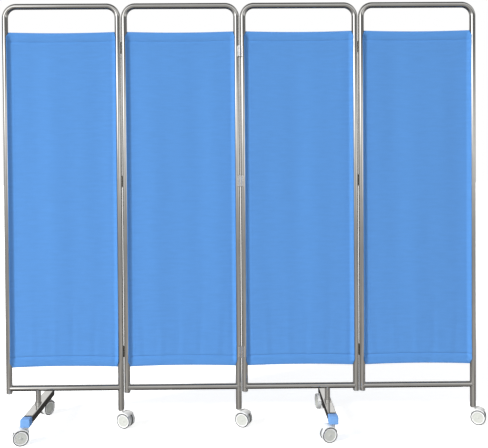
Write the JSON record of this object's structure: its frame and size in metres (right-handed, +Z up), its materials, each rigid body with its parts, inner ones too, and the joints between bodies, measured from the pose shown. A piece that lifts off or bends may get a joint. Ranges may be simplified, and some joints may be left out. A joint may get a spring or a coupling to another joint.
{
  "type": "hospital privacy screen",
  "caption": "Folding ward privacy screen: polished steel tube leaves hinged in a row, each with a stretched blue curtain, standing on cross feet and swivel casters.",
  "frame": {"origin": "on the floor under the middle of the open screen, in the plane of the leaves", "axes": "+X along the leaves to the right as pictured, +Y towards the back, -Y towards the viewer, +Z up"},
  "size_m": [2.0515, 0.4537, 1.8],
  "materials": {
    "polished_tube": "polished stainless steel",
    "hinge_steel": "satin stainless steel",
    "rod_steel": "drawn wire",
    "stem_steel": "zinc plated",
    "curtain_cloth": "matt woven cloth",
    "post_plug": "glossy",
    "foot_cap": "moulded, slightly glossy",
    "caster_hood": "moulded, glossy",
    "caster_wheel": "hard grey plastic"
  },
  "bodies": {
    "leaf_1": {"frame_1": "polished_tube", "bottom_rail_1": "polished_tube", "post_plugs_1": "post_plug", "hem_rods_1": "rod_steel", "curtain_1": "curtain_cloth", "caster_stems_1": "stem_steel", "hinge_left_leaves_1_2": "hinge_steel", "hinge_pins_1_2": "hinge_steel", "left_foot_bar": "polished_tube", "left_foot_caps": "foot_cap", "left_foot_stub": "polished_tube"},
    "leaf_2": {"frame_2": "polished_tube", "bottom_rail_2": "polished_tube", "post_plugs_2": "post_plug", "hem_rods_2": "rod_steel", "curtain_2": "curtain_cloth", "caster_stems_2": "stem_steel", "hinge_right_leaves_1_2": "hinge_steel", "hinge_left_leaves_2_3": "hinge_steel", "hinge_pins_2_3": "hinge_steel"},
    "leaf_3": {"frame_3": "polished_tube", "bottom_rail_3": "polished_tube", "post_plugs_3": "post_plug", "hem_rods_3": "rod_steel", "curtain_3": "curtain_cloth", "caster_stems_3": "stem_steel", "hinge_right_leaves_2_3": "hinge_steel", "hinge_left_leaves_3_4": "hinge_steel", "hinge_pins_3_4": "hinge_steel", "right_foot_bar": "polished_tube", "right_foot_caps": "foot_cap", "right_foot_stub": "polished_tube"},
    "leaf_4": {"frame_4": "polished_tube", "bottom_rail_4": "polished_tube", "post_plugs_4": "post_plug", "hem_rods_4": "rod_steel", "curtain_4": "curtain_cloth", "caster_stems_4": "stem_steel", "hinge_right_leaves_3_4": "hinge_steel"},
    "left_foot_front_swivel": {"left_foot_front_hood": "caster_hood"},
    "left_foot_front_wheel_a": {"left_foot_front_wheel_a": "caster_wheel"},
    "left_foot_front_wheel_b": {"left_foot_front_wheel_b": "caster_wheel"},
    "left_foot_rear_swivel": {"left_foot_rear_hood": "caster_hood"},
    "left_foot_rear_wheel_a": {"left_foot_rear_wheel_a": "caster_wheel"},
    "left_foot_rear_wheel_b": {"left_foot_rear_wheel_b": "caster_wheel"},
    "post_1_swivel": {"post_1_hood": "caster_hood"},
    "post_1_wheel_a": {"post_1_wheel_a": "caster_wheel"},
    "post_1_wheel_b": {"post_1_wheel_b": "caster_wheel"},
    "post_2_swivel": {"post_2_hood": "caster_hood"},
    "post_2_wheel_a": {"post_2_wheel_a": "caster_wheel"},
    "post_2_wheel_b": {"post_2_wheel_b": "caster_wheel"},
    "right_foot_front_swivel": {"right_foot_front_hood": "caster_hood"},
    "right_foot_front_wheel_a": {"right_foot_front_wheel_a": "caster_wheel"},
    "right_foot_front_wheel_b": {"right_foot_front_wheel_b": "caster_wheel"},
    "right_foot_rear_swivel": {"right_foot_rear_hood": "caster_hood"},
    "right_foot_rear_wheel_a": {"right_foot_rear_wheel_a": "caster_wheel"},
    "right_foot_rear_wheel_b": {"right_foot_rear_wheel_b": "caster_wheel"},
    "post_4_swivel": {"post_4_hood": "caster_hood"},
    "post_4_wheel_a": {"post_4_wheel_a": "caster_wheel"},
    "post_4_wheel_b": {"post_4_wheel_b": "caster_wheel"}
  },
  "joints": [
    {"name": "fold_1_2", "type": "hinge", "parent": "leaf_1", "child": "leaf_2", "pos_m": [-0.502, 0.016, 1.046], "axis": [0, 0, 1], "range_deg": [-5, 172]},
    {"name": "fold_2_3", "type": "hinge", "parent": "leaf_2", "child": "leaf_3", "pos_m": [0, -0.016, 1.046], "axis": [0, 0, -1], "range_deg": [-5, 172]},
    {"name": "fold_3_4", "type": "hinge", "parent": "leaf_3", "child": "leaf_4", "pos_m": [0.502, 0.016, 1.046], "axis": [0, 0, 1], "range_deg": [-5, 172]},
    {"name": "left_foot_front_swivel", "type": "hinge", "parent": "leaf_1", "child": "left_foot_front_swivel", "pos_m": [-0.868, -0.179, 0.069], "axis": [0, 0, 1], "continuous": true},
    {"name": "left_foot_front_wheel_a_spin", "type": "hinge", "parent": "left_foot_front_swivel", "child": "left_foot_front_wheel_a", "pos_m": [-0.8888, -0.18616, 0.0315], "axis": [-0.3256, 0.9455, 0], "continuous": true},
    {"name": "left_foot_front_wheel_b_spin", "type": "hinge", "parent": "left_foot_front_swivel", "child": "left_foot_front_wheel_b", "pos_m": [-0.8888, -0.18616, 0.0315], "axis": [-0.3256, 0.9455, 0], "continuous": true},
    {"name": "left_foot_rear_swivel", "type": "hinge", "parent": "leaf_1", "child": "left_foot_rear_swivel", "pos_m": [-0.868, 0.179, 0.069], "axis": [0, 0, 1], "continuous": true},
    {"name": "left_foot_rear_wheel_a_spin", "type": "hinge", "parent": "left_foot_rear_swivel", "child": "left_foot_rear_wheel_a", "pos_m": [-0.87867, 0.15976, 0.0315], "axis": [-0.8746, 0.4848, 0], "continuous": true},
    {"name": "left_foot_rear_wheel_b_spin", "type": "hinge", "parent": "left_foot_rear_swivel", "child": "left_foot_rear_wheel_b", "pos_m": [-0.87867, 0.15976, 0.0315], "axis": [-0.8746, 0.4848, 0], "continuous": true},
    {"name": "post_1_swivel", "type": "hinge", "parent": "leaf_1", "child": "post_1_swivel", "pos_m": [-0.5155, 0, 0.069], "axis": [0, 0, 1], "continuous": true},
    {"name": "post_1_wheel_a_spin", "type": "hinge", "parent": "post_1_swivel", "child": "post_1_wheel_a", "pos_m": [-0.4951, -0.00824, 0.0315], "axis": [-0.3746, -0.9272, 0], "continuous": true},
    {"name": "post_1_wheel_b_spin", "type": "hinge", "parent": "post_1_swivel", "child": "post_1_wheel_b", "pos_m": [-0.4951, -0.00824, 0.0315], "axis": [-0.3746, -0.9272, 0], "continuous": true},
    {"name": "post_2_swivel", "type": "hinge", "parent": "leaf_2", "child": "post_2_swivel", "pos_m": [-0.0135, 0, 0.069], "axis": [0, 0, 1], "continuous": true},
    {"name": "post_2_wheel_a_spin", "type": "hinge", "parent": "post_2_swivel", "child": "post_2_wheel_a", "pos_m": [0.0069, -0.00824, 0.0315], "axis": [-0.3746, -0.9272, 0], "continuous": true},
    {"name": "post_2_wheel_b_spin", "type": "hinge", "parent": "post_2_swivel", "child": "post_2_wheel_b", "pos_m": [0.0069, -0.00824, 0.0315], "axis": [-0.3746, -0.9272, 0], "continuous": true},
    {"name": "right_foot_front_swivel", "type": "hinge", "parent": "leaf_3", "child": "right_foot_front_swivel", "pos_m": [0.366, -0.179, 0.069], "axis": [0, 0, 1], "continuous": true},
    {"name": "right_foot_front_wheel_a_spin", "type": "hinge", "parent": "right_foot_front_swivel", "child": "right_foot_front_wheel_a", "pos_m": [0.34475, -0.18469, 0.0315], "axis": [-0.2588, 0.9659, 0], "continuous": true},
    {"name": "right_foot_front_wheel_b_spin", "type": "hinge", "parent": "right_foot_front_swivel", "child": "right_foot_front_wheel_b", "pos_m": [0.34475, -0.18469, 0.0315], "axis": [-0.2588, 0.9659, 0], "continuous": true},
    {"name": "right_foot_rear_swivel", "type": "hinge", "parent": "leaf_3", "child": "right_foot_rear_swivel", "pos_m": [0.366, 0.179, 0.069], "axis": [0, 0, 1], "continuous": true},
    {"name": "right_foot_rear_wheel_a_spin", "type": "hinge", "parent": "right_foot_rear_swivel", "child": "right_foot_rear_wheel_a", "pos_m": [0.36294, 0.20079, 0.0315], "axis": [0.9903, 0.1392, 0], "continuous": true},
    {"name": "right_foot_rear_wheel_b_spin", "type": "hinge", "parent": "right_foot_rear_swivel", "child": "right_foot_rear_wheel_b", "pos_m": [0.36294, 0.20079, 0.0315], "axis": [0.9903, 0.1392, 0], "continuous": true},
    {"name": "post_4_swivel", "type": "hinge", "parent": "leaf_4", "child": "post_4_swivel", "pos_m": [0.9905, 0, 0.069], "axis": [0, 0, 1], "continuous": true},
    {"name": "post_4_wheel_a_spin", "type": "hinge", "parent": "post_4_swivel", "child": "post_4_wheel_a", "pos_m": [1.0109, -0.00824, 0.0315], "axis": [-0.3746, -0.9272, 0], "continuous": true},
    {"name": "post_4_wheel_b_spin", "type": "hinge", "parent": "post_4_swivel", "child": "post_4_wheel_b", "pos_m": [1.0109, -0.00824, 0.0315], "axis": [-0.3746, -0.9272, 0], "continuous": true}
  ]
}
